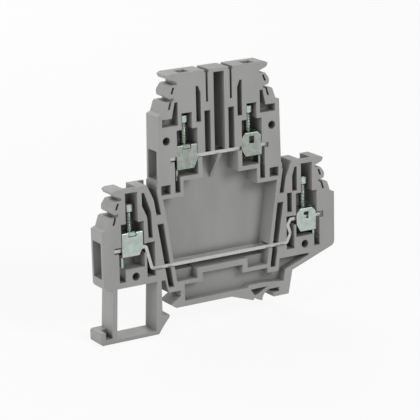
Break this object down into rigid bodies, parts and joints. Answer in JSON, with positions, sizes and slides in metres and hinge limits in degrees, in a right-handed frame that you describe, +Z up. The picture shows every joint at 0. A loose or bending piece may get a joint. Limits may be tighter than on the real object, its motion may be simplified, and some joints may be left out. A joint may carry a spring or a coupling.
{
  "type": "feed-through terminal block",
  "caption": "Slim two-deck feed-through terminal block: grey moulded housing with a sprung rail foot, open on one side over current bars and rising-cage screw clamps.",
  "frame": {"origin": "middle of the rail seat, on the rail's top face at the part's mid-thickness", "axes": "+X along the block from the latch end to the hook end, +Y through its thickness from the open side to the closed back, +Z up from the rail towards the label edge"},
  "size_m": [0.0725, 0.007, 0.0686],
  "materials": {
    "housing": "fine matt moulding",
    "cage": "zinc plated, pale green passivation",
    "screw": "zinc plated, bright",
    "bar": "tin plated, satin"
  },
  "bodies": {
    "body": {"housing": "housing", "upper_current_bar": "bar", "lower_current_bar": "bar"},
    "cage_upper_left": {"clamping_cage_upper_left": "cage"},
    "screw_upper_left": {"clamping_screw_upper_left": "screw"},
    "cage_upper_right": {"clamping_cage_upper_right": "cage"},
    "screw_upper_right": {"clamping_screw_upper_right": "screw"},
    "cage_lower_left": {"clamping_cage_lower_left": "cage"},
    "screw_lower_left": {"clamping_screw_lower_left": "screw"},
    "cage_lower_right": {"clamping_cage_lower_right": "cage"},
    "screw_lower_right": {"clamping_screw_lower_right": "screw"}
  },
  "joints": [
    {"name": "cage_upper_left_slide", "type": "slide", "parent": "body", "child": "cage_upper_left", "axis": [0, 0, 1], "range_m": [-0.0015, 0.002]},
    {"name": "screw_upper_left_turn", "type": "hinge", "parent": "body", "child": "screw_upper_left", "pos_m": [-0.00978, -0.0007, 0.04], "axis": [0, 0, 1], "range_deg": [-1801, 1351]},
    {"name": "cage_upper_right_slide", "type": "slide", "parent": "body", "child": "cage_upper_right", "axis": [0, 0, 1], "range_m": [-0.0021, 0.0014]},
    {"name": "screw_upper_right_turn", "type": "hinge", "parent": "body", "child": "screw_upper_right", "pos_m": [0.00978, -0.0007, 0.04], "axis": [0, 0, 1], "range_deg": [-1261, 1891]},
    {"name": "cage_lower_left_slide", "type": "slide", "parent": "body", "child": "cage_lower_left", "axis": [0, 0, 1], "range_m": [-0.0029, 0.00085]},
    {"name": "screw_lower_left_turn", "type": "hinge", "parent": "body", "child": "screw_lower_left", "pos_m": [-0.02665, -0.0007, 0.04], "axis": [0, 0, 1], "range_deg": [-766, 2611]},
    {"name": "cage_lower_right_slide", "type": "slide", "parent": "body", "child": "cage_lower_right", "axis": [0, 0, 1], "range_m": [-0.001, 0.0028]},
    {"name": "screw_lower_right_turn", "type": "hinge", "parent": "body", "child": "screw_lower_right", "pos_m": [0.02665, -0.0007, 0.04], "axis": [0, 0, 1], "range_deg": [-2521, 901]}
  ],
  "couplings": [
    {"joint": "screw_upper_left_turn", "follows": "cage_upper_left_slide", "rad_per_m": -15708},
    {"joint": "screw_upper_right_turn", "follows": "cage_upper_right_slide", "rad_per_m": -15708},
    {"joint": "screw_lower_left_turn", "follows": "cage_lower_left_slide", "rad_per_m": -15708},
    {"joint": "screw_lower_right_turn", "follows": "cage_lower_right_slide", "rad_per_m": -15708}
  ]
}
